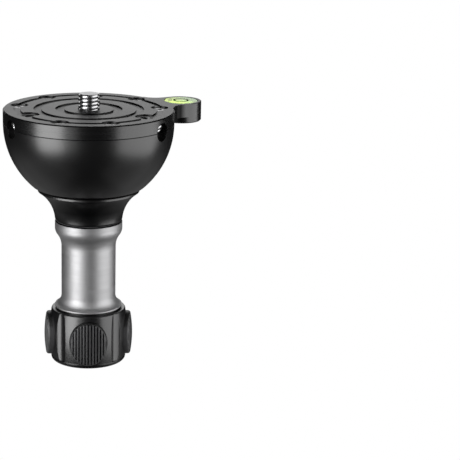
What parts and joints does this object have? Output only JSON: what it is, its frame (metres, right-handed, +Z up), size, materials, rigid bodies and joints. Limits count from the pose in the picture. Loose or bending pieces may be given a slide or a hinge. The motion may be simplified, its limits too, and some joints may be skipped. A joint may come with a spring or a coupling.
{
  "type": "video bowl adapter",
  "caption": "Half-ball bowl adapter for a video tripod: a plate with camera stud and bubble level on a half ball, with a clamp collar and a screw-down handle that ends in a ribbed knob.",
  "frame": {"origin": "middle of the plate's top face, where the camera head sits, on the stud's axis", "axes": "+Z up along the stud, +X through the middle of the bubble level, +Y completes the frame"},
  "size_m": [0.0931, 0.075, 0.122],
  "materials": {
    "black_anodised": "black anodised, satin, fine turning lines",
    "silver_anodised": "silver grey anodised, satin",
    "steel": "bright zinc plated",
    "clear_acrylic": "clear polished",
    "level_backing": "matt",
    "level_liquid": "clear yellow green liquid",
    "level_air": "air bubble",
    "level_paint": "matt black line",
    "washer_plastic": "matt grey",
    "insert_brass": "machined",
    "knob_plastic": "satin black",
    "pad_rubber": "matt dark grey, ribbed"
  },
  "bodies": {
    "ball": {"top_plate": "black_anodised", "half_ball": "black_anodised", "head_stud": "steel", "plate_screws": "steel", "draw_rod": "steel", "rod_washer": "steel", "rod_nut": "steel", "level_vial": "clear_acrylic", "level_base": "level_backing", "level_liquid": "level_liquid", "level_bubble": "level_air", "level_ring": "level_paint"},
    "collar": {"clamp_collar": "black_anodised", "thrust_washer": "washer_plastic"},
    "handle": {"handle_tube": "silver_anodised", "thread_insert": "insert_brass", "knob_body": "knob_plastic", "knob_screw": "steel", "grip_pad_1": "pad_rubber", "grip_pad_2": "pad_rubber", "grip_pad_3": "pad_rubber", "grip_pad_4": "pad_rubber", "knob_cap": "silver_anodised"},
    "lock_1": {"set_screw_1": "steel"},
    "lock_2": {"set_screw_2": "steel"},
    "lock_3": {"set_screw_3": "steel"}
  },
  "joints": [
    {"name": "collar_slide", "type": "slide", "parent": "ball", "child": "collar", "axis": [0, 0, 1], "range_m": [-0.0105, 0]},
    {"name": "handle_turn", "type": "hinge", "parent": "collar", "child": "handle", "pos_m": [0, 0, -0.0503], "axis": [0, 0, 1], "range_deg": [-2160, 0]},
    {"name": "lock_1_drive", "type": "slide", "parent": "ball", "child": "lock_1", "axis": [-0.4096, -0.7094, 0.5736], "range_m": [0, 0.004]},
    {"name": "lock_2_drive", "type": "slide", "parent": "ball", "child": "lock_2", "axis": [0.8192, 0, 0.5736], "range_m": [0, 0.004]},
    {"name": "lock_3_drive", "type": "slide", "parent": "ball", "child": "lock_3", "axis": [-0.4096, 0.7094, 0.5736], "range_m": [0, 0.004]}
  ],
  "couplings": [
    {"joint": "collar_slide", "follows": "handle_turn", "m_per_rad": 0.00027852}
  ]
}
